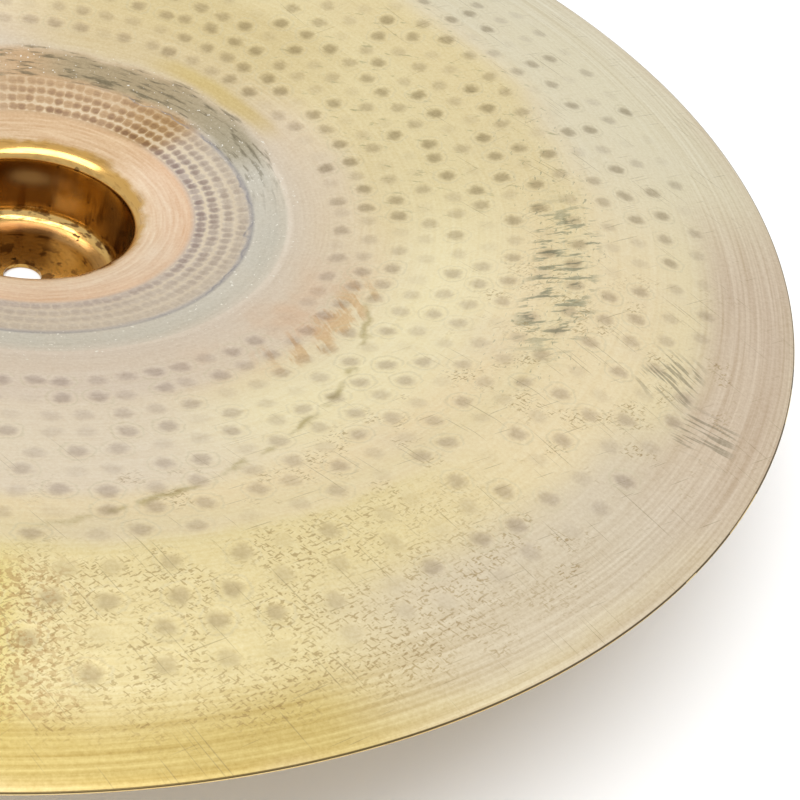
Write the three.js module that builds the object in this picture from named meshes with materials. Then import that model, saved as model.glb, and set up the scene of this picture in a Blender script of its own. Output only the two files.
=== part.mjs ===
import * as THREE from 'three';

// A China-type crash cymbal: one disc of hammered and lathed bronze with a cup-shaped bell,
// a bow that rises from the bell's lip, a crease and a flange turned the other way.
// It lies bell down. Millimetres, +Z up, the axis of symmetry is Z, and z = 0 is the flat
// outer face of the bell, which is what the cymbal rests on.
//
// "Inner" is the surface that faces up here, the cymbal's underside when it is played.

// Driving dimensions
const CYMBAL_DIAMETER = 457.2; // across the rim, 18 inches
const HOLE_DIAMETER = 11.5; // the hole that a stand's threaded rod passes
const BELL_THICKNESS = 1.3; // sheet thickness in the bell
const RIM_THICKNESS = 0.8; // sheet thickness at the rim
const BELL_MOUTH_DIAMETER = 73.4; // inside, where the rounded shoulder runs out into the bow
const BELL_DEPTH = 25.6; // inside, from the mouth down to the flat floor
const BELL_DRAFT = THREE.MathUtils.degToRad(3); // how far the bell's wall leans outwards
const BELL_DISH_RADIUS = 18; // inner surface, the shallow curve round the flat floor
const BELL_DISH_CLIMB = THREE.MathUtils.degToRad(18); // where the dish hands over to the corner
const BELL_CORNER_RADIUS = 5; // inner surface, dish to wall
const BELL_LIP_RADIUS = 3.5; // inner surface, wall to shoulder
const BELL_SHOULDER_CLIMB = THREE.MathUtils.degToRad(40); // where lip and shoulder meet
const BELL_SHOULDER_RADIUS = 9; // inner surface, lip to bow
const BOW_START_SLOPE = 0.2; // rise over run where the bow leaves the shoulder
const BOW_RISE = 28.6; // from the bell's mouth up to the crease
const CREASE_DIAMETER = 331; // where the bow turns into the flange
const CREASE_BLEND = 2.5; // the crease is rounded this far to either side
const FLANGE_DROP = 2.4; // from the crease down to the rim

// Facets
const TURNS = 72; // around the axis
const DISH_STEPS = 2;
const CORNER_STEPS = 4;
const LIP_STEPS = 3;
const SHOULDER_STEPS = 2;
const BOW_STEPS = 7;
const FLANGE_STEPS = 4;

const RIM_RADIUS = CYMBAL_DIAMETER / 2;
const HOLE_RADIUS = HOLE_DIAMETER / 2;
const MOUTH_RADIUS = BELL_MOUTH_DIAMETER / 2;
const CREASE_RADIUS = CREASE_DIAMETER / 2;
const MOUTH_HEIGHT = BELL_THICKNESS + BELL_DEPTH;

// The sheet is hammered thinner from the bell's mouth out to the rim.
function sheetThickness(radius) {
  const outwards = THREE.MathUtils.clamp((radius - MOUTH_RADIUS) / (RIM_RADIUS - MOUTH_RADIUS), 0, 1);
  return THREE.MathUtils.lerp(BELL_THICKNESS, RIM_THICKNESS, outwards);
}

// A station is a point on the inner surface and the angle at which the surface climbs there.
function station(radius, height, climb) {
  return { radius, height, climb };
}

// The same place on the other side of the sheet, a thickness away at a right angle.
function outerPoint({ radius, height, climb }) {
  const thickness = sheetThickness(radius);
  return new THREE.Vector2(radius + thickness * Math.sin(climb), height - thickness * Math.cos(climb));
}

// Evenly spaced numbers from a to b, both included.
function spread(a, b, steps) {
  return Array.from({ length: steps + 1 }, (_, i) => THREE.MathUtils.lerp(a, b, i / steps));
}

// Stations of an arc of the inner surface that ends at a radius and height. Its climb goes from
// startClimb to endClimb, and bends upwards or, over a lip, down to the bow's.
function arcTo(end, arcRadius, startClimb, endClimb, steps) {
  const bend = Math.sign(endClimb - startClimb);
  return spread(startClimb, endClimb, steps).map((climb) => station(
    end.radius + bend * arcRadius * (Math.sin(climb) - Math.sin(endClimb)),
    end.height - bend * arcRadius * (Math.cos(climb) - Math.cos(endClimb)),
    climb,
  ));
}

// Floor, dish, corner, wall, lip and shoulder of the bell, from the hole to the mouth.
function bellStations() {
  const wallClimb = Math.PI / 2 - BELL_DRAFT;
  const bowClimb = Math.atan(BOW_START_SLOPE);
  const mouth = station(MOUTH_RADIUS, MOUTH_HEIGHT, bowClimb);
  const shoulder = arcTo(mouth, BELL_SHOULDER_RADIUS, BELL_SHOULDER_CLIMB, bowClimb, SHOULDER_STEPS);
  const lip = arcTo(shoulder[0], BELL_LIP_RADIUS, wallClimb, BELL_SHOULDER_CLIMB, LIP_STEPS);

  const wallTop = lip[0];
  const dishRise = BELL_DISH_RADIUS * (1 - Math.cos(BELL_DISH_CLIMB));
  const cornerRise = BELL_CORNER_RADIUS * (Math.cos(BELL_DISH_CLIMB) - Math.cos(wallClimb));
  const wallFootHeight = BELL_THICKNESS + dishRise + cornerRise;
  const wallFootRadius = wallTop.radius - (wallTop.height - wallFootHeight) * Math.tan(BELL_DRAFT);
  const wallFoot = station(wallFootRadius, wallFootHeight, wallClimb);
  const corner = arcTo(wallFoot, BELL_CORNER_RADIUS, BELL_DISH_CLIMB, wallClimb, CORNER_STEPS);
  const dish = arcTo(corner[0], BELL_DISH_RADIUS, 0, BELL_DISH_CLIMB, DISH_STEPS);

  const floorEdge = station(HOLE_RADIUS, BELL_THICKNESS, 0);
  return [floorEdge, ...dish, ...corner.slice(1), ...lip, ...shoulder.slice(1)];
}

// The bow climbs ever more steeply from the mouth; the blend at the crease is left out.
function bowStations() {
  const width = CREASE_RADIUS - MOUTH_RADIUS;
  const curvature = 2 * (BOW_RISE - BOW_START_SLOPE * width) / width ** 2;
  const bow = spread(0, width - CREASE_BLEND, BOW_STEPS).map((across) => station(
    MOUTH_RADIUS + across,
    MOUTH_HEIGHT + BOW_START_SLOPE * across + curvature * across ** 2 / 2,
    Math.atan(BOW_START_SLOPE + curvature * across),
  ));
  return bow.slice(1);
}

// The flange leaves the crease level and droops to the rim, whose edge is half round.
function flangeStations() {
  const creaseHeight = MOUTH_HEIGHT + BOW_RISE;
  const edge = RIM_RADIUS - RIM_THICKNESS / 2;
  const width = edge - CREASE_RADIUS;
  return spread(CREASE_BLEND, width, FLANGE_STEPS).map((across) => station(
    CREASE_RADIUS + across,
    creaseHeight - FLANGE_DROP * (across / width) ** 2,
    -Math.atan(2 * FLANGE_DROP * across / width ** 2),
  ));
}

// The half-round edge of the rim, from below to above; its two ends belong to the flange.
function rimEdge(lastStation) {
  const outer = outerPoint(lastStation);
  const inner = new THREE.Vector2(lastStation.radius, lastStation.height);
  const middle = outer.clone().add(inner).divideScalar(2);
  return [-Math.PI / 4, 0, Math.PI / 4].map((turn) => new THREE.Vector2(
    lastStation.radius + (RIM_RADIUS - lastStation.radius) * Math.cos(turn),
    middle.y + RIM_THICKNESS / 2 * Math.sin(turn),
  ));
}

// The closed outline of the sheet: out along the lower side, round the rim, back along the
// upper side and down the wall of the hole.
function sheetOutline() {
  const stations = [...bellStations(), ...bowStations(), ...flangeStations()];
  const below = stations.map(outerPoint);
  const above = stations.map(({ radius, height }) => new THREE.Vector2(radius, height));
  return [...below, ...rimEdge(stations.at(-1)), ...above.reverse(), below[0].clone()];
}

function makeCymbal() {
  const geometry = new THREE.LatheGeometry(sheetOutline(), TURNS);
  geometry.rotateX(Math.PI / 2);
  const bronze = new THREE.MeshStandardMaterial({ color: 0xcdb67c, roughness: 0.4, metalness: 1 });
  const cymbal = new THREE.Mesh(geometry, bronze);
  cymbal.name = 'cymbal';
  return cymbal;
}

const part = new THREE.Group();
part.add(makeCymbal());

export default part;
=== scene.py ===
import math

import bpy
import numpy as np
from bpy.props import FloatProperty, FloatVectorProperty, IntProperty, PointerProperty
from bpy.types import Operator, Panel, PropertyGroup
from mathutils import Matrix, Vector


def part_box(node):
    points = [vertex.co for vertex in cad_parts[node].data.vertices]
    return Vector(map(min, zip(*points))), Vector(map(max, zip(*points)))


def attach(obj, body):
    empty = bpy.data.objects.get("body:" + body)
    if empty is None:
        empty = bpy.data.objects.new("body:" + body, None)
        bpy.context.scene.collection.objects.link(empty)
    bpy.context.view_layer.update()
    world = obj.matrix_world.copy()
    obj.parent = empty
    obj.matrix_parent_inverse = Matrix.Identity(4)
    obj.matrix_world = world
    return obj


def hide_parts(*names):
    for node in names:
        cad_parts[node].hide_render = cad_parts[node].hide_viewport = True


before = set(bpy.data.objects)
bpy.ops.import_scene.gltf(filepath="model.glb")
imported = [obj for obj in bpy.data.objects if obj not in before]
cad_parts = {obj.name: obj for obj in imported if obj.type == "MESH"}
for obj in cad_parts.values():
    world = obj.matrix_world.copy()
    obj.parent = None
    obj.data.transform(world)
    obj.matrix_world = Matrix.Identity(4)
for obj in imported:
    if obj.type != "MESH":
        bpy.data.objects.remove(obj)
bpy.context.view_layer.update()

bl_info = {
    "name": "Hammered China Cymbal",
    "version": (1, 0, 0),
    "blender": (4, 5, 0),
    "location": "3D View > Sidebar > Cymbal",
    "description": "Lathes and hammers a China-type crash cymbal and sets it on a pale studio floor",
    "category": "Object",
}

# Sizes are metres, angles are radians. The cymbal lies bell down, its axis is Z, and
# "inner" is the side that faces up here.

RIM_RADIUS, _, CREASE_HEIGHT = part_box("cymbal")[1]

MM = 0.001
TURN = 2 * math.pi

# A lathe's blade leaves lines about 0.4 mm apart and the polished metal a grain of about
# 0.1 mm. Both are drawn coarser here, because they would be too fine to show.
LATHE_LINE = 1.0 * MM
GRAIN = 1.0 * MM


def linear(hex_colour):
    """Turns an sRGB hex colour such as "c8a060" into the linear values that shaders take."""
    channels = [int(hex_colour[i:i + 2], 16) / 255 for i in (0, 2, 4)]
    return tuple(c / 12.92 if c <= 0.04045 else ((c + 0.055) / 1.055) ** 2.4 for c in channels)


def length_property(name, description, default):
    """A size in metres that the sidebar shows in the scene's units."""
    return FloatProperty(name=name, description=description, default=default, unit="LENGTH",
                         precision=5, min=0)


def colour_property(name, description, hex_colour):
    """A colour that the sidebar shows as a swatch."""
    return FloatVectorProperty(name=name, description=description, default=linear(hex_colour),
                               subtype="COLOR", min=0, max=1)


class CymbalSizes(PropertyGroup):
    """The sheet, the shape it is spun to and the marks that hammering leaves."""
    bell_thickness: length_property("Bell Thickness", "Sheet thickness in the bell", 1.3 * MM)
    rim_thickness: length_property("Rim Thickness", "Sheet thickness at the rim", 0.8 * MM)
    hole_diameter: length_property("Hole", "Hole for the stand's threaded rod", 11.5 * MM)
    mouth_diameter: length_property("Bell Mouth", "Inside, where the shoulder runs out", 73.4 * MM)
    bell_depth: length_property("Bell Depth", "Inside, from the mouth to the floor", 25.6 * MM)
    bell_draft: FloatProperty(name="Bell Draft", description="How far the bell's wall leans out",
                              default=math.radians(3), subtype="ANGLE")
    dish_radius: length_property("Dish Radius", "Inside, the shallow curve round the floor", 18 * MM)
    dish_climb: FloatProperty(name="Dish Climb", default=math.radians(18), subtype="ANGLE",
                              description="How steep the sheet is where dish and corner meet")
    corner_radius: length_property("Corner Radius", "Inside, dish to wall", 5 * MM)
    lip_radius: length_property("Lip Radius", "Inside, wall to shoulder", 3.5 * MM)
    shoulder_radius: length_property("Shoulder Radius", "Inside, lip to bow", 9 * MM)
    shoulder_climb: FloatProperty(name="Shoulder Climb", default=math.radians(40), subtype="ANGLE",
                                  description="How steep the sheet is where lip and shoulder meet")
    bow_start_slope: FloatProperty(name="Bow Start Slope", default=0.2,
                                   description="Rise over run where the bow leaves the lip")
    crease_diameter: length_property("Crease", "Where the bow turns into the flange", 331 * MM)
    crease_blend: length_property("Crease Blend", "Rounding to either side of it", 2.5 * MM)
    flange_drop: length_property("Flange Drop", "From the crease down to the rim", 2.4 * MM)
    dent_depth: length_property("Dent Depth", "How deep a hammer mark is", 0.26 * MM)
    fine_dent_depth: length_property("Fine Dent Depth", "The same, in the finely hammered band",
                                     0.09 * MM)
    turns: IntProperty(name="Turns", description="Faces around the bow's inner side",
                       default=600, min=24)


class CymbalColours(PropertyGroup):
    """The bronze and what time left on it."""
    tarnish_tint: colour_property("Tarnish Tint", "Tints the whole tarnished plate", "ffffff")
    bell_amber: colour_property("Bell Amber", "Bare polished bronze of the bell", "cfa662")
    # This colour is also used for the painted dark reflection on the bell's far wall and the painted reflection
    # rings in its corner.
    bell_stain_and_dark_reflection: colour_property("Bell Stain", "Burnt brown film inside the bell", "5f3a18")
    # This colour is partly the scale in the hammer marks and partly a painted reflection of the dents.
    hammer_scale_and_reflection: colour_property("Hammer Scale", "Scale in the hammer marks", "c6bfc2")
    brown_stain: colour_property("Brown Stain", "Orange-brown stain in the bow", "c99a5c")
    green_stain: colour_property("Green Stain", "Grey-green verdigris at the crease", "7f836c")
    flecks: colour_property("Flecks", "Fine brown corrosion flecks", "a08758")
    scratches: colour_property("Scratches", "Dirt in the scratches", "8d7d5c")
    played_side: colour_property("Played Side", "Lathed bronze of the other side", "dcc38c")
    floor: colour_property("Floor", "Studio floor", "f4f4f4")


class HammerRows:
    """A band of hammer marks set in rings: the marks of a ring share a radius, jitter apart."""

    def __init__(self, first, pitch, rows, marks, marks_slope, jitter, reach):
        self.first = first  # the first ring's radius, in rim radii, as the next three are
        self.pitch = pitch  # from ring to ring
        self.rows = rows  # how many rings
        self.marks = marks  # marks in the first ring
        self.marks_slope = marks_slope  # marks gained for each rim radius further out
        self.jitter = jitter  # how far a mark strays from its place, as a share of its cell
        self.reach = reach  # from a mark's middle to the dent's edge, in metres


FINE_ROWS = HammerRows(0.2255, 0.0180, 4, 112, 300, 0.25, 1.9 * MM)
BOW_ROWS = HammerRows(0.407, 0.0377, 9, 72, 41, 0.32, 4.3 * MM)
FLANGE_ROWS = HammerRows(0.7545, 0.0408, 4, 86, 41, 0.32, 4.6 * MM)
FINE_EDGE = 0.30  # the fine rows end before this radius


# --- The sheet -------------------------------------------------------------------------------

def sheet_thickness(sizes, radius):
    """The sheet is hammered thinner from the bell's mouth out to the rim."""
    mouth = sizes.mouth_diameter / 2
    outwards = np.clip((radius - mouth) / (RIM_RADIUS - mouth), 0, 1)
    return sizes.bell_thickness + (sizes.rim_thickness - sizes.bell_thickness) * outwards


def outer_side(sizes, stations):
    """Stations (radius, height, climb) of the inner side, moved through the sheet."""
    moved = []
    for radius, height, climb in stations:
        thickness = sheet_thickness(sizes, radius)
        moved.append((radius + thickness * math.sin(climb), height - thickness * math.cos(climb), climb))
    return moved


def arc_to(end, radius, start_climb, end_climb, steps):
    """Stations of an arc that ends at a place (radius, height), bending up or over a lip."""
    bend = math.copysign(1, end_climb - start_climb)
    return [(end[0] + bend * radius * (math.sin(climb) - math.sin(end_climb)),
             end[1] - bend * radius * (math.cos(climb) - math.cos(end_climb)), climb)
            for climb in np.linspace(start_climb, end_climb, steps + 1)]


def bell_stations(sizes, arc_steps=6, flat_steps=4):
    """Floor, dish, corner, wall, lip and shoulder of the bell, from the hole to the mouth."""
    wall_climb = math.pi / 2 - sizes.bell_draft
    bow_climb = math.atan(sizes.bow_start_slope)
    mouth = (sizes.mouth_diameter / 2, sizes.bell_thickness + sizes.bell_depth)
    shoulder = arc_to(mouth, sizes.shoulder_radius, sizes.shoulder_climb, bow_climb, arc_steps)
    lip = arc_to(shoulder[0], sizes.lip_radius, wall_climb, sizes.shoulder_climb, arc_steps)

    dish_rise = sizes.dish_radius * (1 - math.cos(sizes.dish_climb))
    corner_rise = sizes.corner_radius * (math.cos(sizes.dish_climb) - math.cos(wall_climb))
    foot_height = sizes.bell_thickness + dish_rise + corner_rise
    foot_radius = lip[0][0] - (lip[0][1] - foot_height) * math.tan(sizes.bell_draft)
    corner = arc_to((foot_radius, foot_height), sizes.corner_radius, sizes.dish_climb, wall_climb,
                    arc_steps)
    dish = arc_to(corner[0], sizes.dish_radius, 0.0, sizes.dish_climb, arc_steps)

    floor = [(radius, sizes.bell_thickness, 0.0)
             for radius in np.linspace(sizes.hole_diameter / 2, dish[0][0], flat_steps + 1)]
    wall = [(radius, height, wall_climb)
            for radius, height in zip(np.linspace(foot_radius, lip[0][0], flat_steps + 1),
                                      np.linspace(foot_height, lip[0][1], flat_steps + 1))]
    return floor + dish[1:] + corner[1:] + wall[1:] + lip[1:] + shoulder[1:]


def plate_station(sizes, radius):
    """Height and climb of the bow and the flange, whose meeting is rounded at the crease."""
    mouth = sizes.mouth_diameter / 2
    crease = sizes.crease_diameter / 2
    bow_width = crease - mouth
    flange_width = RIM_RADIUS - sizes.rim_thickness / 2 - crease
    mouth_height = sizes.bell_thickness + sizes.bell_depth
    crease_height = CREASE_HEIGHT + sizes.flange_drop * (sizes.crease_blend / flange_width) ** 2
    rise = crease_height - mouth_height
    curvature = 2 * (rise - sizes.bow_start_slope * bow_width) / bow_width ** 2

    def bow(across):
        return (mouth_height + sizes.bow_start_slope * across + curvature * across ** 2 / 2,
                math.atan(sizes.bow_start_slope + curvature * across))

    def flange(across):
        return (crease_height - sizes.flange_drop * (across / flange_width) ** 2,
                -math.atan(2 * sizes.flange_drop * across / flange_width ** 2))

    blend = sizes.crease_blend
    if radius <= crease - blend:
        height, climb = bow(radius - mouth)
    elif radius >= crease + blend:
        height, climb = flange(radius - crease)
    else:
        (height_a, climb_a), (height_b, climb_b) = bow(bow_width - blend), flange(blend)
        share = (radius - crease + blend) / (2 * blend)
        climb = climb_a + (climb_b - climb_a) * share
        swell = blend * share * (1 - share)
        height = (height_a + (height_b - height_a) * share
                  + swell * (math.tan(climb_a) * (1 - share) - math.tan(climb_b) * share))
    return radius, height, climb


def plate_stations(sizes, start, steps):
    """Stations from start to the rim; steps holds (end radius in rim radii, spacing)."""
    radii = [start]
    edge = RIM_RADIUS - sizes.rim_thickness / 2
    for end, spacing in steps:
        end = min(end * RIM_RADIUS, edge)
        count = max(1, round((end - radii[-1]) / spacing))
        radii.extend(np.linspace(radii[-1], end, count + 1)[1:])
    return [plate_station(sizes, radius) for radius in radii]


def rim_edge(sizes, last, steps=6):
    """The half-round edge of the rim, from above to below, without its two ends."""
    outer = outer_side(sizes, [last])[0]
    middle = (last[1] + outer[1]) / 2
    reach = RIM_RADIUS - last[0]
    return [(last[0] + reach * math.cos(turn), middle + sizes.rim_thickness / 2 * math.sin(turn), 0.0)
            for turn in np.linspace(math.pi / 2, -math.pi / 2, steps + 1)[1:-1]]


# --- Hammer marks ----------------------------------------------------------------------------

def stray(marks, ring, factor):
    """A number from -0.5 to 0.5 that looks random and is the same here and in the shader."""
    value = np.sin(marks * 1.13 + ring * 4.7 + factor) * 91.7
    return value - np.floor(value) - 0.5


def mark_distance(rows, radius, angle):
    """Distance to the middle of the nearest hammer mark of these rows, and its ring's number."""
    ring = np.clip(np.round((radius - rows.first) / rows.pitch), 0, rows.rows - 1)
    ring_radius = rows.first + ring * rows.pitch
    marks = np.round(rows.marks + rows.marks_slope * (ring_radius - rows.first))
    place = angle / TURN * marks + ring * 0.618
    cell = np.floor(place)
    mark = np.mod(cell, marks)
    along = (place - cell - 0.5 - stray(mark, ring, 0.0) * rows.jitter) / marks * TURN * ring_radius
    across = radius - ring_radius - stray(mark, ring, 2.0) * rows.jitter * rows.pitch * 0.6
    return np.hypot(along, across), mark, ring


def dent_depths(sizes, radius, angle):
    """How deep the hammer marks are at these places."""
    radius = radius / RIM_RADIUS
    crease = sizes.crease_diameter / 2 / RIM_RADIUS
    depth = np.zeros_like(radius)
    bands = (
        (FINE_ROWS, radius < FINE_EDGE, sizes.fine_dent_depth),
        (BOW_ROWS, (radius >= FINE_EDGE) & (radius < crease), sizes.dent_depth),
        (FLANGE_ROWS, radius >= crease, sizes.dent_depth),
    )
    for rows, chosen, deepest in bands:
        distance, mark, ring = mark_distance(rows, radius, angle)
        share = np.clip(distance * RIM_RADIUS / rows.reach, 0, 1)
        strength = 0.75 + 0.5 * stray(mark, ring, 4.0)
        depth += np.where(chosen, deepest * strength * (1 - share ** 2) ** 2, 0)
    return depth


def hammer(mesh, sizes):
    """Moves the vertices of bow and flange down along the sheet's normal, on both sides alike."""
    count = len(mesh.vertices)
    places = np.empty(count * 3)
    mesh.vertices.foreach_get("co", places)
    places = places.reshape(count, 3)
    radius = np.hypot(places[:, 0], places[:, 1])
    angle = np.arctan2(places[:, 1], places[:, 0])
    depth = dent_depths(sizes, radius, angle)
    climb = np.array([plate_station(sizes, r)[2] if r > sizes.mouth_diameter / 2 else 0 for r in radius])
    outward = depth * np.sin(climb)
    places[:, 0] += outward * np.cos(angle)
    places[:, 1] += outward * np.sin(angle)
    places[:, 2] -= depth * np.cos(climb)
    mesh.vertices.foreach_set("co", places.ravel())
    mesh.update()


# --- Modelling -------------------------------------------------------------------------------

def deselect_all():
    """Leaves nothing selected or active."""
    for obj in bpy.context.selected_objects:
        obj.select_set(False)
    bpy.context.view_layer.objects.active = None


def spin_outline(name, outline, turns):
    """Draws an outline of (radius, height) by extruding a vertex, and spins it about Z."""
    deselect_all()
    bpy.ops.mesh.primitive_plane_add(size=MM)
    piece = bpy.context.object
    piece.name = name
    bpy.ops.object.mode_set(mode="EDIT")
    bpy.ops.mesh.merge(type="CENTER")
    here = (outline[0][0], 0.0, outline[0][1])
    bpy.ops.transform.translate(value=here)
    for radius, height in outline[1:]:
        move = (radius - here[0], 0.0, height - here[2])
        bpy.ops.mesh.extrude_vertices_move(TRANSFORM_OT_translate={"value": move})
        here = (radius, 0.0, height)
    bpy.ops.mesh.select_all(action="SELECT")
    bpy.ops.mesh.spin(steps=turns, angle=TURN, center=(0, 0, 0), axis=(0, 0, 1))
    bpy.ops.mesh.select_all(action="SELECT")
    bpy.ops.mesh.remove_doubles(threshold=0.01 * MM)
    bpy.ops.object.mode_set(mode="OBJECT")
    return piece


def join(pieces):
    """Joins pieces into the first one."""
    deselect_all()
    for piece in pieces:
        piece.select_set(True)
    bpy.context.view_layer.objects.active = pieces[0]
    bpy.ops.object.join()
    return pieces[0]


def bridge(piece, loops):
    """Closes the gap between two open rims, each given as (radius, height)."""
    bpy.ops.object.mode_set(mode="EDIT")
    bpy.ops.mesh.select_all(action="DESELECT")
    bpy.ops.object.mode_set(mode="OBJECT")
    mesh = piece.data
    used = np.zeros(len(mesh.edges), dtype=int)
    for polygon in mesh.polygons:
        for key in polygon.loop_indices:
            used[mesh.loops[key].edge_index] += 1
    near = 0.02 * MM
    for edge in mesh.edges:
        if used[edge.index] != 1:
            continue
        place = mesh.vertices[edge.vertices[0]].co
        radius = math.hypot(place.x, place.y)
        edge.select = any(abs(radius - r) < near and abs(place.z - h) < near for r, h in loops)
    bpy.ops.object.mode_set(mode="EDIT")
    bpy.ops.mesh.select_mode(type="EDGE")
    bpy.ops.mesh.bridge_edge_loops()
    bpy.ops.object.mode_set(mode="OBJECT")


def make_sheet(sizes):
    """Spins the bell and both sides of the plate, joins them and hammers the result."""
    gap = 0.8 * MM
    bell = bell_stations(sizes)
    plate_start = sizes.mouth_diameter / 2 + gap
    inner = plate_stations(sizes, plate_start, (
        (0.215, 2.4 * MM), (0.292, 0.9 * MM), (0.385, 3.0 * MM), (0.717, 1.7 * MM),
        (0.731, 0.8 * MM), (0.9, 1.8 * MM), (1.0, 3.2 * MM)))
    outer = outer_side(sizes, plate_stations(sizes, plate_start, (
        (0.385, 4.2 * MM), (0.717, 2.6 * MM), (0.731, 1.2 * MM), (0.9, 2.6 * MM), (1.0, 3.4 * MM))))
    rim = rim_edge(sizes, inner[-1])
    edge_loop = outer[-1]

    bell_outline = [s[:2] for s in outer_side(sizes, bell)[::-1]] + [s[:2] for s in bell]
    inner_outline = [s[:2] for s in inner] + [s[:2] for s in rim]
    outer_outline = [s[:2] for s in outer]
    sheet = join([
        spin_outline("cymbal_bronze", inner_outline, sizes.turns),
        spin_outline("plate_outer_side", outer_outline, sizes.turns // 2),
        spin_outline("bell", bell_outline, sizes.turns // 4),
    ])
    bridge(sheet, [bell_outline[-1], inner_outline[0]])
    bridge(sheet, [bell_outline[0], outer_outline[0]])
    bridge(sheet, [inner_outline[-1], edge_loop[:2]])
    bpy.ops.object.mode_set(mode="EDIT")
    bpy.ops.mesh.select_all(action="SELECT")
    bpy.ops.mesh.normals_make_consistent(inside=False)
    bpy.ops.object.mode_set(mode="OBJECT")
    hammer(sheet.data, sizes)
    bpy.ops.object.shade_smooth_by_angle(angle=math.radians(40))
    return sheet


# --- Materials -------------------------------------------------------------------------------

def add_node(tree, kind, settings=None, inputs=None):
    """Adds a node, sets its properties, and gives its inputs values or links them to sockets."""
    node = tree.nodes.new(kind)
    for key, value in (settings or {}).items():
        setattr(node, key, value)
    for key, value in (inputs or {}).items():
        usable = [socket for socket in node.inputs if socket.enabled]
        socket = usable[key] if isinstance(key, int) else next(s for s in usable if s.name == key)
        if isinstance(value, bpy.types.Node):
            value = next(output for output in value.outputs if output.enabled)
        if isinstance(value, bpy.types.NodeSocket):
            tree.links.new(value, socket)
        else:
            socket.default_value = value
    return node


def mix_colour(tree, factor, below, above, blend="MIX"):
    """Lays one colour over another by a factor."""
    return add_node(tree, "ShaderNodeMix", {"data_type": "RGBA", "blend_type": blend},
                    {"Factor": factor, "A": below, "B": above})


def smooth_step(tree, value, start, end):
    """Rises smoothly from 0 at start to 1 at end, or falls if end is below start."""
    low, high, first, last = (start, end, 0, 1) if start < end else (end, start, 1, 0)
    return add_node(tree, "ShaderNodeMapRange", {"interpolation_type": "SMOOTHSTEP"},
                    {"Value": value, "From Min": low, "From Max": high, "To Min": first, "To Max": last})


def times(tree, first, *others):
    """The product of several masks."""
    product = first
    for other in others:
        product = add_node(tree, "ShaderNodeMath", {"operation": "MULTIPLY"}, {0: product, 1: other})
    return product


def band(tree, value, low, high, soft):
    """A mask that is 1 from low to high and fades over soft to either side."""
    return times(tree, smooth_step(tree, value, low - soft, low + soft),
                 smooth_step(tree, value, high + soft, high - soft))


def noise(tree, place, scale, detail=2.0, roughness=0.5):
    """Fractal noise with so many features to the metre."""
    return add_node(tree, "ShaderNodeTexNoise", None,
                    {"Vector": place, "Scale": scale, "Detail": detail, "Roughness": roughness})


class SheetCoordinates:
    """Where a point of the sheet lies: its place, radius in rim radii, angle and direction."""

    def __init__(self, tree, seed):
        self.tree = tree
        raw = add_node(tree, "ShaderNodeTexCoord").outputs["Object"]
        self.place = add_node(tree, "ShaderNodeVectorMath", {"operation": "ADD"},
                              {0: raw, 1: (seed, seed / 2, 0)})
        flat = add_node(tree, "ShaderNodeVectorMath", {"operation": "MULTIPLY"}, {0: raw, 1: (1, 1, 0)})
        length = add_node(tree, "ShaderNodeVectorMath", {"operation": "LENGTH"}, {0: flat})
        self.radius = add_node(tree, "ShaderNodeMath", {"operation": "DIVIDE"}, {0: length, 1: RIM_RADIUS})
        self.direction = add_node(tree, "ShaderNodeVectorMath", {"operation": "NORMALIZE"}, {0: flat})
        parts = add_node(tree, "ShaderNodeSeparateXYZ", None, {0: raw})
        self.angle = add_node(tree, "ShaderNodeMath", {"operation": "ARCTAN2"},
                              {0: parts.outputs["Y"], 1: parts.outputs["X"]})
        self.height = parts.outputs["Z"]
        self.wavy_radius = self.warp_radius(30, 0.05)
        self.ragged_radius = self.warp_radius(110, 0.035)

    def warp_radius(self, scale, amount):
        """The radius, made uneven so that what follows it has a wandering edge."""
        shift = noise(self.tree, self.place, scale, 3.0)
        centred = add_node(self.tree, "ShaderNodeMath", {"operation": "SUBTRACT"}, {0: shift, 1: 0.5})
        return add_node(self.tree, "ShaderNodeMath", {"operation": "MULTIPLY_ADD"},
                        {0: centred, 1: amount, 2: self.radius})

    def facing(self, degrees, reach, soft):
        """A mask that is 1 within reach degrees of a direction and fades over soft."""
        towards = (math.cos(math.radians(degrees)), math.sin(math.radians(degrees)), 0)
        cosine = add_node(self.tree, "ShaderNodeVectorMath", {"operation": "DOT_PRODUCT"},
                          {0: self.direction, 1: towards})
        outer = math.cos(math.radians(min(reach + soft, 180)))
        inner = math.cos(math.radians(max(reach - soft, 0)))
        return smooth_step(self.tree, cosine, outer, inner)

    def patch(self, low, high, soft, degrees, reach, angle_soft, ragged=False):
        """A stretch of the sheet between two radii and within reach of a direction."""
        radius = self.ragged_radius if ragged else self.wavy_radius
        return times(self.tree, band(self.tree, radius, low, high, soft),
                     self.facing(degrees, reach, angle_soft))


def stray_node(tree, mark, ring, factor):
    """The shader's copy of stray()."""
    first = add_node(tree, "ShaderNodeMath", {"operation": "MULTIPLY_ADD"}, {0: mark, 1: 1.13, 2: factor})
    phase = add_node(tree, "ShaderNodeMath", {"operation": "MULTIPLY_ADD"}, {0: ring, 1: 4.7, 2: first})
    wave = add_node(tree, "ShaderNodeMath", {"operation": "SINE"}, {0: phase})
    spread = add_node(tree, "ShaderNodeMath", {"operation": "MULTIPLY"}, {0: wave, 1: 91.7})
    share = add_node(tree, "ShaderNodeMath", {"operation": "FRACT"}, {0: spread})
    return add_node(tree, "ShaderNodeMath", {"operation": "SUBTRACT"}, {0: share, 1: 0.5})


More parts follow.
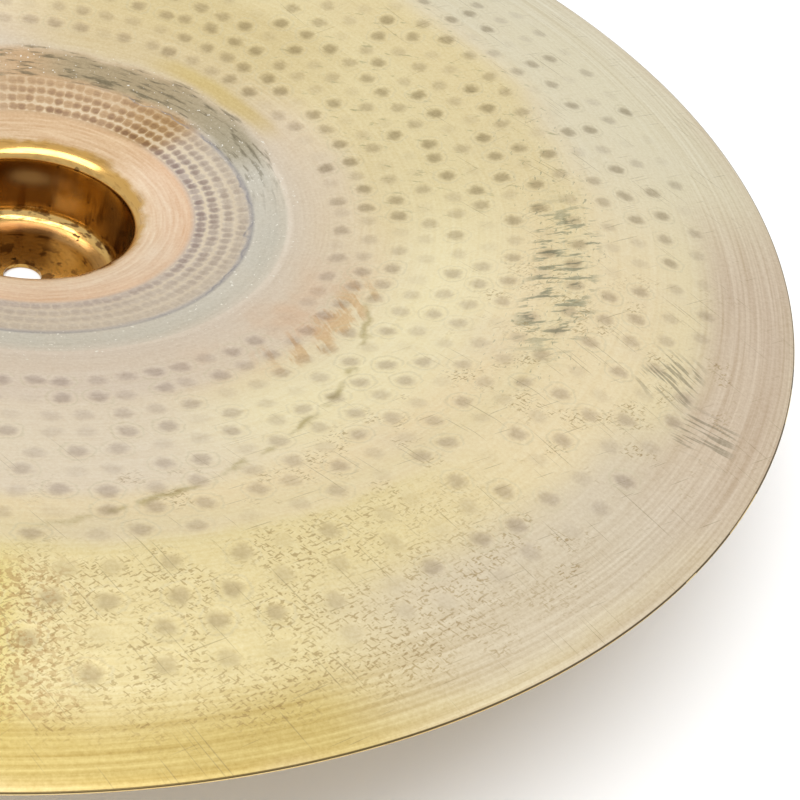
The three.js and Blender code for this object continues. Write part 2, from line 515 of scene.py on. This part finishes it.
def mark_nodes(tree, where, rows):
    """The shader's copy of mark_distance(), in metres, and each mark's strength from 0 to 1."""
    def maths(operation, *values):
        return add_node(tree, "ShaderNodeMath", {"operation": operation}, dict(enumerate(values)))

    from_first = maths("SUBTRACT", where.radius, rows.first)
    ring = maths("MINIMUM", maths("MAXIMUM", maths("ROUND", maths("DIVIDE", from_first, rows.pitch)), 0),
                 rows.rows - 1)
    ring_radius = maths("MULTIPLY_ADD", ring, rows.pitch, rows.first)
    marks = maths("ROUND", maths("MULTIPLY_ADD", ring, rows.pitch * rows.marks_slope, rows.marks))
    turn = maths("MULTIPLY", maths("DIVIDE", where.angle, TURN), marks)
    place = maths("MULTIPLY_ADD", ring, 0.618, turn)
    cell = maths("FLOOR", place)
    mark = maths("FLOORED_MODULO", cell, marks)
    aside = maths("MULTIPLY_ADD", stray_node(tree, mark, ring, 0.0), -rows.jitter, maths("FRACT", place))
    along = maths("MULTIPLY", maths("DIVIDE", maths("SUBTRACT", aside, 0.5), marks),
                  maths("MULTIPLY", ring_radius, TURN))
    across = maths("MULTIPLY_ADD", stray_node(tree, mark, ring, 2.0), -rows.jitter * rows.pitch * 0.6,
                   maths("SUBTRACT", where.radius, ring_radius))
    squares = maths("ADD", maths("POWER", along, 2), maths("POWER", across, 2))
    distance = maths("MULTIPLY", maths("SQRT", squares), RIM_RADIUS)
    strength = maths("ADD", stray_node(tree, mark, ring, 4.0), 0.5)
    return distance, strength


def colour_by_radius(tree, radius, stops, tint=(1, 1, 1)):
    """A ramp through tinted colours at radii."""
    ramp = add_node(tree, "ShaderNodeValToRGB", None, {0: radius})
    elements = ramp.color_ramp.elements
    while len(elements) > 1:
        elements.remove(elements[-1])
    for index, (position, hex_colour) in enumerate(stops):
        element = elements[0] if index == 0 else elements.new(position)
        element.position = position
        element.color = (*(shade * share for shade, share in zip(linear(hex_colour), tint)), 1)
    return ramp


# The tarnish of the plate's inner side, from the bell's mouth out to the rim. The dark stops at 0.2905 and 0.2935
# are a painted shadow line at the inner edge of the grey ring.
INNER_TARNISH = (
    (0.140, "e6ccaa"), (0.180, "e7ccae"), (0.2125, "e4c3a2"),
    (0.2185, "cabbad"), (0.245, "cfc1ae"), (0.284, "cfc1ac"), (0.2905, "b9b1aa"), (0.2935, "a9a49e"),
    (0.297, "cfc9ba"), (0.325, "cac4b4"), (0.336, "d0c8b6"), (0.341, "e6dac8"),
    (0.347, "d6c8b3"), (0.38, "dac9ae"), (0.42, "dfceae"), (0.46, "e5d4b0"),
    (0.50, "eaddb7"), (0.54, "efe3ba"), (0.60, "ede0b8"), (0.66, "ead8b0"),
    (0.70, "e6d6ac"), (0.74, "e8d7b0"), (0.80, "e8d7b0"), (0.88, "e3d5ae"),
    (0.94, "dacaa7"), (1.0, "d2c1a3"),
)

# The bell's inner side, from the hole out to the shoulder. The darker stop at 0.096 and the greyer stops at 0.102
# and 0.114 are painted reflections in the concave corner.
BELL_TONES = (
    (0.024, "b9924f"), (0.040, "caa05a"), (0.085, "d2aa68"), (0.096, "b98f52"), (0.102, "c3a781"),
    (0.114, "c6a87c"), (0.121, "cfa660"), (0.133, "cdab6c"), (0.1385, "cdaa6a"), (0.142, "cfa560"),
    (0.165, "cda159"),
)

# Stretches of the inner side that drifted to another tone: low and high radius, soft edge,
# direction in degrees, reach, soft edge of the reach, strength, colour.
INNER_DRIFTS = (
    (0.385, 0.640, 0.020, -104, 36, 12, 0.80, "e3d5c0"),
    (0.335, 0.450, 0.020, -96, 70, 24, 0.60, "d9cab8"),
    (0.440, 0.720, 0.030, 36, 40, 18, 0.80, "ddcd9e"),
    (0.725, 0.990, 0.012, -84, 30, 12, 0.80, "dfcf9a"),
    (0.740, 0.960, 0.030, -112, 22, 3, 0.80, "dcca66"),
    (0.925, 1.010, 0.030, -98, 32, 10, 0.80, "bfa75f"),
    (0.155, 0.345, 0.012, 78, 34, 16, 0.65, "cdab80"),
    (0.350, 0.560, 0.020, 64, 24, 12, 0.65, "d2bf8e"),
    (0.740, 1.000, 0.040, 40, 42, 18, 0.75, "dfd8be"),
    (0.830, 0.985, 0.035, -52, 13, 8, 0.65, "d0c3b2"),
    (0.880, 1.010, 0.035, -22, 15, 10, 0.75, "cbb7a2"),
    (0.222, 0.290, 0.008, 52, 9, 5, 0.80, "b08a55"),
    (0.222, 0.345, 0.010, 78, 22, 8, 0.70, "c5a47c"),
    (0.295, 0.345, 0.008, 55, 32, 8, 0.75, "a3977a"),
    (0.355, 0.385, 0.010, 46, 14, 8, 0.60, "c9b068"),
)


def ring_noise(where, spacing, arcs=3.0, detail=2.0):
    """Noise drawn out round the axis, as a lathe leaves it: rings a spacing apart in metres."""
    tree = where.tree
    run = add_node(tree, "ShaderNodeVectorMath", {"operation": "SCALE"},
                   {"Vector": where.direction, "Scale": arcs * spacing})
    parts = add_node(tree, "ShaderNodeSeparateXYZ", None, {0: run})
    metres = add_node(tree, "ShaderNodeMath", {"operation": "MULTIPLY"}, {0: where.radius, 1: RIM_RADIUS})
    place = add_node(tree, "ShaderNodeCombineXYZ", None,
                     {"X": metres, "Y": parts.outputs["X"], "Z": parts.outputs["Y"]})
    return noise(tree, place, 1 / spacing, detail)


def strokes(where, degrees, length, width, share, soft=0.05, detail=0.0):
    """A mask of streaks in one direction: their length, width and the threshold they show at."""
    tree = where.tree
    turned = add_node(tree, "ShaderNodeVectorRotate", {"rotation_type": "Z_AXIS"},
                      {"Vector": where.place, "Angle": math.radians(-degrees)})
    drawn = add_node(tree, "ShaderNodeVectorMath", {"operation": "MULTIPLY"},
                     {0: turned, 1: (1 / length, 1 / width, 0)})
    return smooth_step(tree, noise(tree, drawn, 1.0, detail, 0.6), share, share + soft)


def cloud(where, size, start, end, detail=3.0, roughness=0.55):
    """A mask of irregular patches of a size in metres."""
    return smooth_step(where.tree, noise(where.tree, where.place, 1 / size, detail, roughness), start, end)


def inverse(tree, mask):
    """One minus a mask."""
    return add_node(tree, "ShaderNodeMath", {"operation": "SUBTRACT"}, {0: 1.0, 1: mask})


def largest(tree, first, second):
    """The larger of two masks."""
    return add_node(tree, "ShaderNodeMath", {"operation": "MAXIMUM"}, {0: first, 1: second})


def laid_over(tree, colour, mask, above, strength=1.0, blend="MIX"):
    """A colour with another, hex or linear, laid over it where a mask says."""
    above = linear(above) if isinstance(above, str) else tuple(above)
    return mix_colour(tree, times(tree, mask, strength), colour, (*above, 1), blend)


def hammer_discs(where, sizes):
    """The discs that the hammer's face left on bow and flange, their rims and their strength."""
    tree = where.tree
    is_flange = add_node(tree, "ShaderNodeMath", {"operation": "GREATER_THAN"},
                         {0: where.radius, 1: sizes.crease_diameter / 2 / RIM_RADIUS})
    bow_distance, bow_strength = mark_nodes(tree, where, BOW_ROWS)
    flange_distance, flange_strength = mark_nodes(tree, where, FLANGE_ROWS)
    distance = add_node(tree, "ShaderNodeMix", None,
                        {"Factor": is_flange, "A": bow_distance, "B": flange_distance})
    strength = add_node(tree, "ShaderNodeMix", None,
                        {"Factor": is_flange, "A": bow_strength, "B": flange_strength})
    uneven = add_node(tree, "ShaderNodeMath", {"operation": "MULTIPLY_ADD"},
                      {0: noise(tree, where.place, 330, 2.0, 0.6), 1: 2.6 * MM, 2: distance})
    hammered = band(tree, where.radius, 0.392, 0.895, 0.010)
    disc = times(tree, smooth_step(tree, uneven, 4.9 * MM, 2.3 * MM), hammered)
    rim = times(tree, band(tree, uneven, 5.2 * MM, 5.6 * MM, 0.45 * MM), hammered)
    return disc, rim, strength


def hammer_marks(where, sizes, colours, colour):
    """Bow and flange: grey discs, some with a faint ring, some nearly polished away."""
    tree = where.tree
    disc, rim, strength = hammer_discs(where, sizes)
    worn = smooth_step(tree, strength, -0.30, 0.95)
    # Partly painted reflection: the grey of the discs stands in for the darker reflection of the dents as well as
    # for their scale.
    colour = laid_over(tree, colour, times(tree, disc, worn), colours.hammer_scale_and_reflection, 0.62, "MULTIPLY")
    upper = times(tree, where.facing(25, 34, 20), disc, smooth_step(tree, strength, 0.15, 1.0))
    colour = laid_over(tree, colour, upper, "c6c2a0", 0.38, "MULTIPLY")
    colour = laid_over(tree, colour, times(tree, rim, smooth_step(tree, strength, 0.2, 0.9)),
                       "c9bf9f", 0.50)
    return colour, disc


def fine_hammering(where, colour):
    """The finely hammered band round the bell: mauve scale in the dents, bare metal between."""
    tree = where.tree
    distance, strength = mark_nodes(tree, where, FINE_ROWS)
    uneven = add_node(tree, "ShaderNodeMath", {"operation": "MULTIPLY_ADD"},
                      {0: noise(tree, where.place, 700, 1.0), 1: 1.1 * MM, 2: distance})
    inside = band(tree, where.radius, 0.2185, 0.288, 0.0015)
    bare = times(tree, smooth_step(tree, uneven, 1.9 * MM, 2.7 * MM), inside)
    scale = times(tree, smooth_step(tree, uneven, 2.5 * MM, 1.2 * MM), inside,
                  smooth_step(tree, strength, -0.4, 0.7))
    fading = add_node(tree, "ShaderNodeMapRange", None,
                      {"Value": where.radius, "From Min": 0.225, "From Max": 0.285,
                       "To Min": 1.0, "To Max": 0.40})
    towards = add_node(tree, "ShaderNodeMapRange", None,
                       {"Value": where.facing(40, 55, 50), "To Min": 0.35, "To Max": 1.0})
    colour = laid_over(tree, colour, times(tree, scale, fading, towards), "a8989c", 0.75, "MULTIPLY")
    return laid_over(tree, colour, times(tree, bare, fading, towards), "e6d6b8", 0.75)


def grey_rings(where, colour):
    """The rings outside that band: dark grimy streaks, bare bright nicks and a painted shadow line at their inner
    edge.
    """
    tree = where.tree
    grime = smooth_step(tree, ring_noise(where, 1.5 * MM, 9.0, 3.0), 0.50, 0.66)
    ring = band(tree, where.wavy_radius, 0.288, 0.350, 0.006)
    far = where.facing(66, 50, 22)
    colour = laid_over(tree, colour, times(tree, grime, ring, far), "6f6650", 0.75)
    # Painted shadow: a thin blue-grey line at the grey ring's inner edge, shown on the right.
    line = band(tree, where.ragged_radius, 0.290, 0.2925, 0.0016)
    colour = laid_over(tree, colour, times(tree, line, where.facing(5, 60, 20), cloud(where, 9 * MM, 0.40, 0.55)),
                       "8d8b90", 0.70)
    nicks = times(tree, cloud(where, 1.1 * MM, 0.70, 0.74, 1.0), band(tree, where.radius, 0.29, 0.36, 0.01))
    return laid_over(tree, colour, nicks, "f2eee2", 0.80)


def stains(where, colours, colour):
    """Orange-brown tongues inside the bow, verdigris at the crease, an olive tide line."""
    tree = where.tree
    tongue = times(tree, where.patch(0.430, 0.485, 0.012, -37, 12, 6, ragged=True),
                   strokes(where, -78, 18 * MM, 4.5 * MM, 0.47, 0.10, 3.0))
    colour = laid_over(tree, colour, tongue, colours.brown_stain, 0.50)
    blush = times(tree, where.patch(0.37, 0.47, 0.03, -40, 16, 10), cloud(where, 22 * MM, 0.40, 0.65))
    colour = laid_over(tree, colour, blush, "d8b592", 0.55)
    tide_radius = add_node(tree, "ShaderNodeMapRange", None,
                           {"Value": where.angle, "From Min": math.radians(-88),
                            "From Max": math.radians(-28), "To Min": -0.225, "To Max": 0.0})
    from_tide = add_node(tree, "ShaderNodeMath", {"operation": "ADD"}, {0: where.ragged_radius, 1: tide_radius})
    tide = times(tree, band(tree, from_tide, 0.470, 0.478, 0.006), where.facing(-57, 27, 8),
                 cloud(where, 12 * MM, 0.38, 0.55))
    colour = laid_over(tree, colour, tide, "aa9a64", 0.75)
    green = times(tree, where.patch(0.655, 0.735, 0.012, -17, 12, 5, ragged=True),
                  strokes(where, 4, 9 * MM, 2.4 * MM, 0.50, 0.09, 4.0))
    colour = laid_over(tree, colour, green, colours.green_stain, 0.72)
    specks = times(tree, where.patch(0.64, 0.75, 0.02, -12, 26, 12, ragged=True),
                   strokes(where, 70, 3.0 * MM, 1.2 * MM, 0.62, 0.06, 3.0))
    colour = laid_over(tree, colour, specks, colours.green_stain, 0.55)
    smudges = times(tree, band(tree, where.radius, 0.44, 0.76, 0.03), where.facing(22, 22, 14),
                    strokes(where, -20, 7 * MM, 2.2 * MM, 0.60, 0.12, 3.0))
    return laid_over(tree, colour, smudges, "9b9770", 0.55)


def flecks(where, colours, colour, spared):
    """Short brown corrosion flecks, dense on the near flange and spared by the hammer marks."""
    tree = where.tree
    dashes = largest(tree, strokes(where, 35, 1.9 * MM, 0.70 * MM, 0.575, 0.06, 1.0),
                     strokes(where, -40, 2.2 * MM, 0.65 * MM, 0.600, 0.06, 1.0))
    dense = times(tree, where.patch(0.735, 0.955, 0.015, -78, 20, 12), cloud(where, 16 * MM, 0.36, 0.56))
    sparse = times(tree, where.patch(0.60, 0.94, 0.03, -50, 34, 10), cloud(where, 12 * MM, 0.52, 0.66))
    shown = times(tree, dashes, largest(tree, dense, sparse), inverse(tree, spared))
    colour = laid_over(tree, colour, shown, colours.flecks, 0.62)
    crust = times(tree, where.patch(0.75, 0.93, 0.02, -92, 5, 4, ragged=True),
                  cloud(where, 1.3 * MM, 0.50, 0.58, 2.0))
    return laid_over(tree, colour, crust, "a9824f", 0.55)


def scratches(where, colours, colour):
    """Two gouged clusters on the flange, and long hair scratches."""
    tree = where.tree
    gouged = largest(
        tree,
        times(tree, strokes(where, -62, 13 * MM, 1.3 * MM, 0.50, 0.08, 1.0),
              where.patch(0.820, 0.885, 0.010, -27.5, 2.6, 1.4)),
        times(tree, strokes(where, -34, 15 * MM, 1.4 * MM, 0.52, 0.08, 1.0),
              where.patch(0.885, 0.955, 0.010, -32.5, 2.0, 1.2)))
    colour = laid_over(tree, colour, gouged, "7c745f", 0.55)
    for degrees, length, width, share in ((-55, 24 * MM, 0.50 * MM, 0.755), (28, 15 * MM, 0.45 * MM, 0.77)):
        hair = times(tree, strokes(where, degrees, length, width, share),
                     smooth_step(tree, where.radius, 0.46, 0.66))
        colour = laid_over(tree, colour, hair, colours.scratches, 0.42)
    return colour


def bell_finish(where, colours):
    """Inside the bell: bare glossy amber bronze with burnt brown rings and spots, and painted reflections: a dark
    one on the far wall, a pale one beside it and dark rings in the corner.
    """
    tree = where.tree
    stain = colours.bell_stain_and_dark_reflection
    colour = colour_by_radius(tree, where.radius, BELL_TONES)
    rings = smooth_step(tree, ring_noise(where, 0.9 * MM, 7.0, 3.0), 0.48, 0.64)
    # Painted reflection: two bands of dark rings stand in for the rings that the concave corner reflects. One
    # band is at the floor's edge, the other runs from the corner's top up the wall.
    corner_painted_reflection_rings = largest(tree, band(tree, where.radius, 0.091, 0.098, 0.003),
                          band(tree, where.radius, 0.122, 0.136, 0.003))
    colour = laid_over(tree, colour, times(tree, rings, corner_painted_reflection_rings), stain, 0.80)
    colour = laid_over(tree, colour, times(tree, rings, band(tree, where.radius, 0.02, 0.165, 0.004)),
                       stain, 0.22)
    wall = times(tree, smooth_step(tree, where.height, 5.5 * MM, 8.5 * MM),
                 smooth_step(tree, where.height, 24.5 * MM, 21.5 * MM))
    # Painted dark reflection: the far-left wall is painted dark brown, standing in for the dark surroundings that
    # the polished wall would reflect.
    painted_dark_reflection = times(tree, wall, where.facing(104, 30, 10), cloud(where, 26 * MM, 0.15, 0.45))
    colour = laid_over(tree, colour, painted_dark_reflection, stain, 0.80)
    # Painted reflection: a pale patch on the wall stands in for a diffuse reflection.
    painted_pale_reflection = times(tree, wall, where.facing(66, 7, 5), cloud(where, 8 * MM, 0.35, 0.60))
    colour = laid_over(tree, colour, painted_pale_reflection, "dcc4a0", 0.75)
    blotch = times(tree, cloud(where, 5.0 * MM, 0.54, 0.60, 3.0), smooth_step(tree, where.radius, 0.092, 0.060))
    colour = laid_over(tree, colour, blotch, stain, 0.75)
    pits = times(tree, cloud(where, 3.0 * MM, 0.715, 0.745, 1.0), smooth_step(tree, where.radius, 0.145, 0.135))
    return laid_over(tree, colour, pits, "3a2210", 0.85)


def bronze_inner(sizes, colours):
    """Cast bell bronze, hammered cold and then lathed: satin straw metal under a mottled tarnish.

    The bell was left bright, so it is glossy and deep amber. Hammer marks were missed by the
    lathe's blade and keep a mauve-grey scale, deepened by a painted reflection of the dents. Grooves of the lathe
    ring the axis."""
    material = bpy.data.materials.new("hammered_bell_bronze_inner")
    material.use_nodes = True
    tree = material.node_tree
    shader = tree.nodes["Principled BSDF"]
    where = SheetCoordinates(tree, 0.0)
    colour = colour_by_radius(tree, where.radius, INNER_TARNISH, colours.tarnish_tint)
    colour = laid_over(tree, colour, cloud(where, 45 * MM, 0.46, 0.76, 4.0), "d6c8b2", 0.40)
    for low, high, soft, degrees, reach, angle_soft, strength, shade in INNER_DRIFTS:
        drift = where.patch(low, high, soft, degrees, reach, angle_soft)
        colour = laid_over(tree, colour, drift, shade, strength)
    colour = grey_rings(where, colour)
    colour = fine_hammering(where, colour)
    colour = stains(where, colours, colour)
    colour, discs = hammer_marks(where, sizes, colours, colour)
    colour = flecks(where, colours, colour, discs)
    colour = scratches(where, colours, colour)

    # Lathe lines show most beside the bell and at the rim, and a fine grain lies all over.
    lines = ring_noise(where, LATHE_LINE)
    lathed = largest(tree, smooth_step(tree, where.radius, 0.215, 0.205),
                     smooth_step(tree, where.radius, 0.86, 0.94))
    shown = add_node(tree, "ShaderNodeMapRange", None, {"Value": lathed, "To Min": 0.22, "To Max": 0.70})
    colour = mix_colour(tree, shown, colour, lines, "SOFT_LIGHT")
    grain = noise(tree, where.place, 1 / GRAIN, 4.0, 0.75)
    colour = mix_colour(tree, 0.55, colour, grain, "SOFT_LIGHT")

    # The cut edge of the rim is painted dark.
    colour = laid_over(tree, colour, smooth_step(tree, where.radius, 0.9976, 0.9985), "4a3c26", 0.90)

    # The polish ends further out on the far side than on the near side.
    north = add_node(tree, "ShaderNodeVectorMath", {"operation": "DOT_PRODUCT"},
                     {0: where.direction, 1: (0, -0.0075, 0)})
    polish_radius = add_node(tree, "ShaderNodeMath", {"operation": "ADD"},
                             {0: where.ragged_radius, 1: north.outputs["Value"]})
    dull = smooth_step(tree, polish_radius, 0.1475, 0.1625)
    colour = mix_colour(tree, dull, bell_finish(where, colours), colour)
    tree.links.new(next(o for o in colour.outputs if o.enabled), shader.inputs["Base Color"])
    shader.inputs["Metallic"].default_value = 1.0
    rough = add_node(tree, "ShaderNodeMapRange", None, {"Value": dull, "To Min": 0.17, "To Max": 0.42})
    tree.links.new(rough.outputs[0], shader.inputs["Roughness"])
    grooves = add_node(tree, "ShaderNodeBump", None,
                       {"Strength": 0.35, "Distance": 0.03 * MM, "Height": lines})
    tree.links.new(grooves.outputs["Normal"], shader.inputs["Normal"])
    return material


def bronze_outer(sizes, colours):
    """The same bronze on the side that is played: lathed all over, so it is brighter and ringed.

    The marks show through as pale bulges and the bell keeps its raw amber skin."""
    material = bpy.data.materials.new("lathed_bell_bronze_outer")
    material.use_nodes = True
    tree = material.node_tree
    shader = tree.nodes["Principled BSDF"]
    where = SheetCoordinates(tree, 3.0)
    plate = laid_over(tree, (*colours.played_side, 1), cloud(where, 60 * MM, 0.42, 0.70, 4.0), "cdbb95", 0.60)
    disc, rim, strength = hammer_discs(where, sizes)
    plate = laid_over(tree, plate, times(tree, disc, strength), "e9ddb6", 0.45)
    plate = laid_over(tree, plate, times(tree, rim, strength), "b5a37b", 0.35)
    plate = laid_over(tree, plate, cloud(where, 7 * MM, 0.60, 0.72, 4.0), "b3996c", 0.40)
    amber = laid_over(tree, (*colours.bell_amber, 1), cloud(where, 9 * MM, 0.45, 0.65), "a87f45", 0.50)
    colour = mix_colour(tree, smooth_step(tree, where.ragged_radius, 0.160, 0.172), amber, plate)
    lines = ring_noise(where, 1.1 * LATHE_LINE)
    colour = mix_colour(tree, 0.8, colour, lines, "SOFT_LIGHT")
    wide = ring_noise(where, 5.5 * MM, 1.0)
    colour = mix_colour(tree, 0.5, colour, wide, "SOFT_LIGHT")
    grain = noise(tree, where.place, 1 / GRAIN, 3.0, 0.7)
    colour = mix_colour(tree, 0.4, colour, grain, "SOFT_LIGHT")
    tree.links.new(next(o for o in colour.outputs if o.enabled), shader.inputs["Base Color"])
    shader.inputs["Metallic"].default_value = 1.0
    rough = add_node(tree, "ShaderNodeMapRange", None, {"Value": wide, "To Min": 0.26, "To Max": 0.42})
    tree.links.new(rough.outputs[0], shader.inputs["Roughness"])
    grooves = add_node(tree, "ShaderNodeBump", None,
                       {"Strength": 0.5, "Distance": 0.04 * MM, "Height": lines})
    tree.links.new(grooves.outputs["Normal"], shader.inputs["Normal"])
    return material


def floor_paint(colours):
    """Matt white floor paint: an even, soft white that takes a faint shadow."""
    material = bpy.data.materials.new("matt_floor_paint")
    material.use_nodes = True
    shader = material.node_tree.nodes["Principled BSDF"]
    shader.inputs["Base Color"].default_value = (*colours.floor, 1)
    shader.inputs["Roughness"].default_value = 0.6
    return material


def assign_finishes(mesh):
    """Gives the faces of the outer side the second material."""
    for polygon in mesh.polygons:
        outward = Vector((polygon.center.x, polygon.center.y, 0)).normalized()
        faces_in = polygon.normal.dot(Vector((0, 0, 1)) - outward) > 0
        polygon.material_index = 0 if faces_in else 1


class CYMBAL_OT_make_cymbal(Operator):
    """Lathe, hammer and finish the cymbal"""
    bl_idname = "cymbal.make_cymbal"
    bl_label = "Make Cymbal"

    def execute(self, context):
        sizes, colours = context.scene.cymbal_sizes, context.scene.cymbal_colours
        sheet = make_sheet(sizes)
        sheet.data.materials.append(bronze_inner(sizes, colours))
        sheet.data.materials.append(bronze_outer(sizes, colours))
        assign_finishes(sheet.data)
        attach(sheet, "root")
        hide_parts("cymbal")
        return {"FINISHED"}


# --- Stage -----------------------------------------------------------------------------------

CAMERA_DISTANCE = 2.154 * RIM_RADIUS  # from the middle of the rim's plane
CAMERA_ELEVATION = math.radians(32.27)
CAMERA_PAN = math.radians(17.16)  # the view looks this far to the right of the axis
CAMERA_TILT = math.radians(39.03)  # and this far down
CAMERA_ROLL = math.radians(15.46)
CAMERA_LENS = 73.8  # millimetres, on a sensor 36 mm wide

FLOOR_SIZE = 12.0
FLOOR_GAP = 0.1 * MM  # keeps the floor clear of the bell's flat face
SOFTBOX_PLACE = (-0.15, -0.25, 1.5)
SOFTBOX_SIZE = (1.7, 0.6)
SOFTBOX_POWER = 17  # watts
WORLD_STRENGTH = 0.92


def make_camera(sizes):
    """Sets the camera low over the near side of the rim, looking across the bell."""
    mouth_height = plate_station(sizes, RIM_RADIUS - sizes.rim_thickness / 2)[1]
    data = bpy.data.cameras.new("camera")
    data.lens = CAMERA_LENS
    data.clip_start = 0.01
    camera = bpy.data.objects.new("camera", data)
    bpy.context.scene.collection.objects.link(camera)
    forward = Vector((math.sin(CAMERA_PAN) * math.cos(CAMERA_TILT),
                      math.cos(CAMERA_PAN) * math.cos(CAMERA_TILT), -math.sin(CAMERA_TILT)))
    level = Vector((math.cos(CAMERA_PAN), -math.sin(CAMERA_PAN), 0))
    upright = level.cross(forward)
    right = level * math.cos(CAMERA_ROLL) + upright * math.sin(CAMERA_ROLL)
    up = upright * math.cos(CAMERA_ROLL) - level * math.sin(CAMERA_ROLL)
    turned = Matrix((right, up, -forward)).transposed().to_4x4()
    turned.translation = Vector((0, -CAMERA_DISTANCE * math.cos(CAMERA_ELEVATION),
                                 mouth_height + CAMERA_DISTANCE * math.sin(CAMERA_ELEVATION)))
    camera.matrix_world = turned
    bpy.context.scene.camera = camera


def make_light(name, place, target, size, power):
    """A rectangular soft light at a place, aimed at a target."""
    data = bpy.data.lights.new(name, "AREA")
    data.shape = "RECTANGLE"
    data.size, data.size_y = size
    data.energy = power
    light = bpy.data.objects.new(name, data)
    light.location = place
    light.rotation_euler = (Vector(target) - Vector(place)).to_track_quat("-Z", "Y").to_euler()
    bpy.context.scene.collection.objects.link(light)


class CYMBAL_OT_make_stage(Operator):
    """Add the floor, the studio lights and the camera"""
    bl_idname = "cymbal.make_stage"
    bl_label = "Make Stage"

    def execute(self, context):
        deselect_all()
        bpy.ops.mesh.primitive_plane_add(size=FLOOR_SIZE, location=(0, 0, -FLOOR_GAP))
        floor = context.object
        floor.name = "floor"
        floor.data.materials.append(floor_paint(context.scene.cymbal_colours))
        make_light("overhead_softbox", SOFTBOX_PLACE, (0, 0, 0), SOFTBOX_SIZE, SOFTBOX_POWER)
        world = bpy.data.worlds.new("studio")
        world.use_nodes = True
        world.node_tree.nodes["Background"].inputs["Color"].default_value = (1, 1, 1, 1)
        world.node_tree.nodes["Background"].inputs["Strength"].default_value = WORLD_STRENGTH
        context.scene.world = world
        make_camera(context.scene.cymbal_sizes)
        context.scene.view_settings.view_transform = "Standard"
        return {"FINISHED"}


# --- Panel and registration ------------------------------------------------------------------

class CYMBAL_PT_sidebar(Panel):
    """Lists the cymbal's sizes and the steps that make it"""
    bl_idname = "CYMBAL_PT_sidebar"
    bl_label = "Hammered China Cymbal"
    bl_space_type = "VIEW_3D"
    bl_region_type = "UI"
    bl_category = "Cymbal"

    def draw(self, context):
        layout = self.layout
        for group in (context.scene.cymbal_sizes, context.scene.cymbal_colours):
            for key in type(group).__annotations__:
                layout.prop(group, key)
        layout.operator(CYMBAL_OT_make_cymbal.bl_idname)
        layout.operator(CYMBAL_OT_make_stage.bl_idname)


CLASSES = (CymbalSizes, CymbalColours, CYMBAL_OT_make_cymbal, CYMBAL_OT_make_stage, CYMBAL_PT_sidebar)


def register():
    for cls in CLASSES:
        bpy.utils.register_class(cls)
    bpy.types.Scene.cymbal_sizes = PointerProperty(type=CymbalSizes)
    bpy.types.Scene.cymbal_colours = PointerProperty(type=CymbalColours)


def unregister():
    del bpy.types.Scene.cymbal_colours
    del bpy.types.Scene.cymbal_sizes
    for cls in reversed(CLASSES):
        bpy.utils.unregister_class(cls)


def main():
    register()
    bpy.ops.cymbal.make_cymbal()
    bpy.ops.cymbal.make_stage()


if __name__ == "__main__":
    main()
